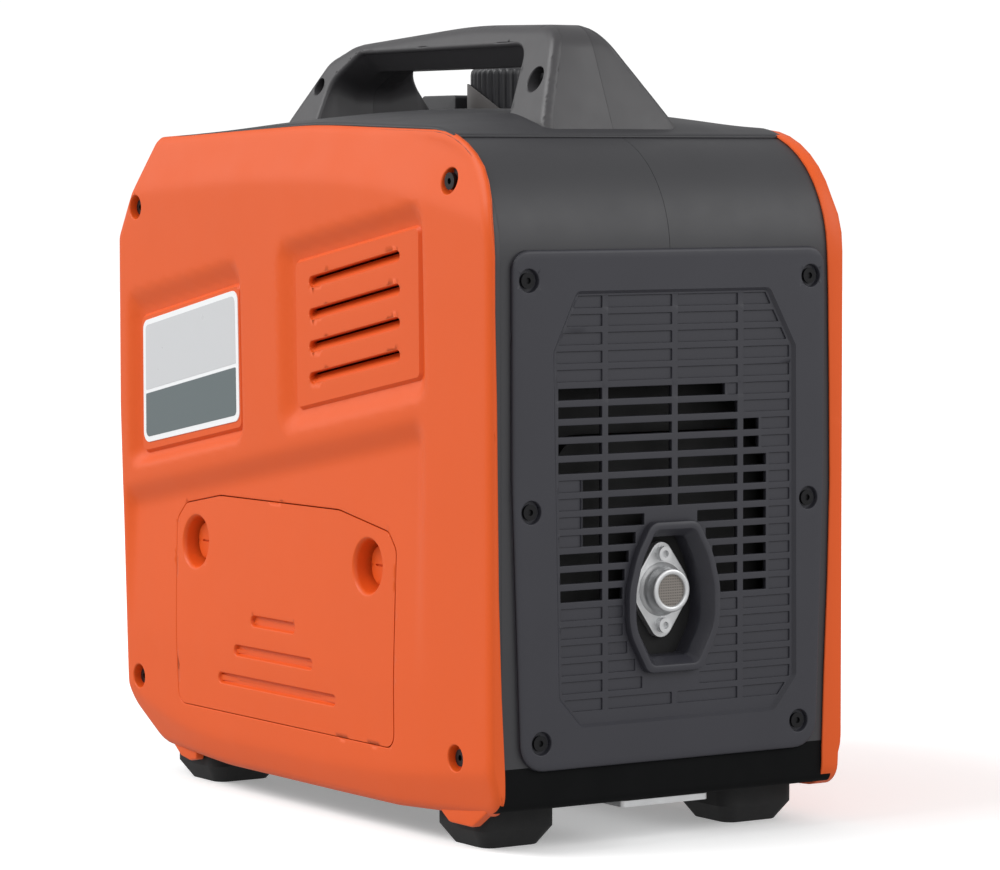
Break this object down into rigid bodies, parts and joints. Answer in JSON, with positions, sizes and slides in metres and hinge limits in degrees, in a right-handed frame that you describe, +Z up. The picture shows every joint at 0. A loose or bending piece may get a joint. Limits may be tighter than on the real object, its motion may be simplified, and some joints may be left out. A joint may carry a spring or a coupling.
{
  "type": "portable inverter generator",
  "caption": "Enclosed suitcase generator with two bolted side covers, a louvred exhaust end with a hexagonal port, a bridge carry handle, a control panel and rubber feet.",
  "frame": {"origin": "on the floor, below the middle of the machine's bounding box", "axes": "+X towards the exhaust end, +Z up, -Y towards the service side with the maintenance door"},
  "size_m": [0.4939, 0.28, 0.5271],
  "materials": {
    "orange_cover": "fine moulded texture, satin",
    "black_casing": "fine moulded texture",
    "grille_plastic": "fine moulded texture",
    "handle_plastic": "satin",
    "cap_plastic": "satin",
    "tank_plastic": "satin",
    "panel_plastic": "satin",
    "socket_plastic": "gloss",
    "flap_plastic": "semi-gloss",
    "knob_plastic": "satin",
    "switch_plastic": "gloss",
    "button_plastic": "gloss",
    "lamp_lens": "clear gloss",
    "dipstick_plastic": "semi-gloss",
    "fan_plastic": "satin",
    "foot_rubber": "matt",
    "hose_rubber": "matt",
    "black_screw": "black oxide",
    "zinc_steel": "bright zinc plated",
    "arrestor_mesh": "woven wire",
    "muffler_steel": "heat-proof black",
    "turned_steel": "turned",
    "cast_aluminium": "as cast",
    "stator_winding": "enamelled winding",
    "plate": "printed film"
  },
  "bodies": {
    "body": {"service_side_cover": "orange_cover", "starter_side_cover": "orange_cover", "side_cover_screws": "black_screw", "rating_plate": "plate", "body_shell_service_side": "black_casing", "body_shell_starter_side": "black_casing", "base_tray": "black_casing", "bottom_plate": "zinc_steel", "rubber_feet": "foot_rubber", "grille_panel": "grille_plastic", "grille_screws": "black_screw", "muffler": "muffler_steel", "exhaust_outlet": "zinc_steel", "spark_arrestor": "arrestor_mesh", "exhaust_bolts": "zinc_steel", "handle_shell_service_side": "handle_plastic", "handle_shell_starter_side": "handle_plastic", "handle_screws": "black_screw", "fuel_tank": "tank_plastic", "filler_neck": "tank_plastic", "fuel_hose": "hose_rubber", "control_panel": "panel_plastic", "intake_grille": "grille_plastic", "ac_sockets": "socket_plastic", "dc_socket": "socket_plastic", "usb_ports": "socket_plastic", "indicator_lamps": "lamp_lens", "earth_stud": "zinc_steel", "crankcase": "cast_aluminium", "cylinder_block": "cast_aluminium", "cylinder_head": "cast_aluminium", "stator": "stator_winding", "fan_shroud": "fan_plastic", "recoil_housing": "black_casing", "rewind_spring": "turned_steel", "air_filter_box": "tank_plastic", "air_filter_lid": "tank_plastic", "carburettor": "cast_aluminium", "spark_plug": "zinc_steel", "spark_plug_cap": "hose_rubber", "ignition_coil": "tank_plastic", "inverter_module": "cast_aluminium", "engine_mounts": "foot_rubber"},
    "fuel_cap": {"fuel_cap": "cap_plastic"},
    "maintenance_door": {"maintenance_door": "orange_cover"},
    "door_screw_front": {"door_screw_front": "orange_cover"},
    "door_screw_rear": {"door_screw_rear": "orange_cover"},
    "engine_rotor": {"crankshaft": "turned_steel", "magneto_rotor": "turned_steel", "cooling_fan": "fan_plastic"},
    "recoil_pulley": {"recoil_pulley": "fan_plastic"},
    "recoil_grip": {"recoil_grip": "knob_plastic"},
    "dipstick": {"dipstick": "dipstick_plastic"},
    "rotary_engine_switch": {"rotary_engine_switch": "knob_plastic"},
    "eco_switch": {"eco_switch": "switch_plastic"},
    "ac_breaker_button": {"ac_breaker_button": "button_plastic"},
    "dc_breaker_button": {"dc_breaker_button": "button_plastic"},
    "socket_flap_left": {"socket_flap_left": "flap_plastic"},
    "socket_flap_right": {"socket_flap_right": "flap_plastic"},
    "earth_nut": {"earth_nut": "zinc_steel"}
  },
  "joints": [
    {"name": "fuel_cap_turn", "type": "hinge", "parent": "body", "child": "fuel_cap", "pos_m": [-0.081, 0.092, 0.484], "axis": [0, 0, 1], "range_deg": [0, 120]},
    {"name": "door_pull", "type": "slide", "parent": "body", "child": "maintenance_door", "axis": [0, -1, 0], "range_m": [0, 0.06]},
    {"name": "door_screw_front_turn", "type": "hinge", "parent": "maintenance_door", "child": "door_screw_front", "pos_m": [-0.14, -0.1245, 0.172], "axis": [0, -1, 0], "range_deg": [0, 90]},
    {"name": "door_screw_rear_turn", "type": "hinge", "parent": "maintenance_door", "child": "door_screw_rear", "pos_m": [0.093, -0.1245, 0.173], "axis": [0, -1, 0], "range_deg": [0, 90]},
    {"name": "crank_spin", "type": "hinge", "parent": "body", "child": "engine_rotor", "pos_m": [0.05, 0.06, 0.14], "axis": [0, 1, 0], "continuous": true},
    {"name": "grip_pull", "type": "slide", "parent": "body", "child": "recoil_grip", "axis": [0, 1, 0], "range_m": [0, 0.45], "stiffness_N_per_m": 20},
    {"name": "pulley_turn", "type": "hinge", "parent": "body", "child": "recoil_pulley", "pos_m": [0.05, 0.112, 0.14], "axis": [0, 1, 0], "range_deg": [0, 660]},
    {"name": "dipstick_turn", "type": "hinge", "parent": "body", "child": "dipstick", "pos_m": [0.092, -0.052, 0.092], "axis": [0, -1, 0], "range_deg": [0, 720]},
    {"name": "engine_switch_turn", "type": "hinge", "parent": "body", "child": "rotary_engine_switch", "pos_m": [-0.234, 0.058, 0.338], "axis": [-1, 0, 0], "range_deg": [0, 90]},
    {"name": "eco_switch_tilt", "type": "hinge", "parent": "body", "child": "eco_switch", "pos_m": [-0.232, 0, 0.34], "axis": [0, 0, 1], "range_deg": [-9, 9]},
    {"name": "ac_breaker_press", "type": "slide", "parent": "body", "child": "ac_breaker_button", "axis": [1, 0, 0], "range_m": [0, 0.003], "stiffness_N_per_m": 400},
    {"name": "dc_breaker_press", "type": "slide", "parent": "body", "child": "dc_breaker_button", "axis": [1, 0, 0], "range_m": [0, 0.003], "stiffness_N_per_m": 400},
    {"name": "socket_flap_left_lift", "type": "hinge", "parent": "body", "child": "socket_flap_left", "pos_m": [-0.2386, -0.058, 0.2685], "axis": [0, 1, 0], "range_deg": [0, 110], "stiffness_Nm_per_rad": 0.02},
    {"name": "socket_flap_right_lift", "type": "hinge", "parent": "body", "child": "socket_flap_right", "pos_m": [-0.2386, 0.004, 0.2685], "axis": [0, 1, 0], "range_deg": [0, 110], "stiffness_Nm_per_rad": 0.02},
    {"name": "earth_nut_turn", "type": "hinge", "parent": "body", "child": "earth_nut", "pos_m": [-0.239, 0.08, 0.3], "axis": [-1, 0, 0], "range_deg": [0, 720]}
  ],
  "couplings": [
    {"joint": "pulley_turn", "follows": "grip_pull", "rad_per_m": 25}
  ]
}
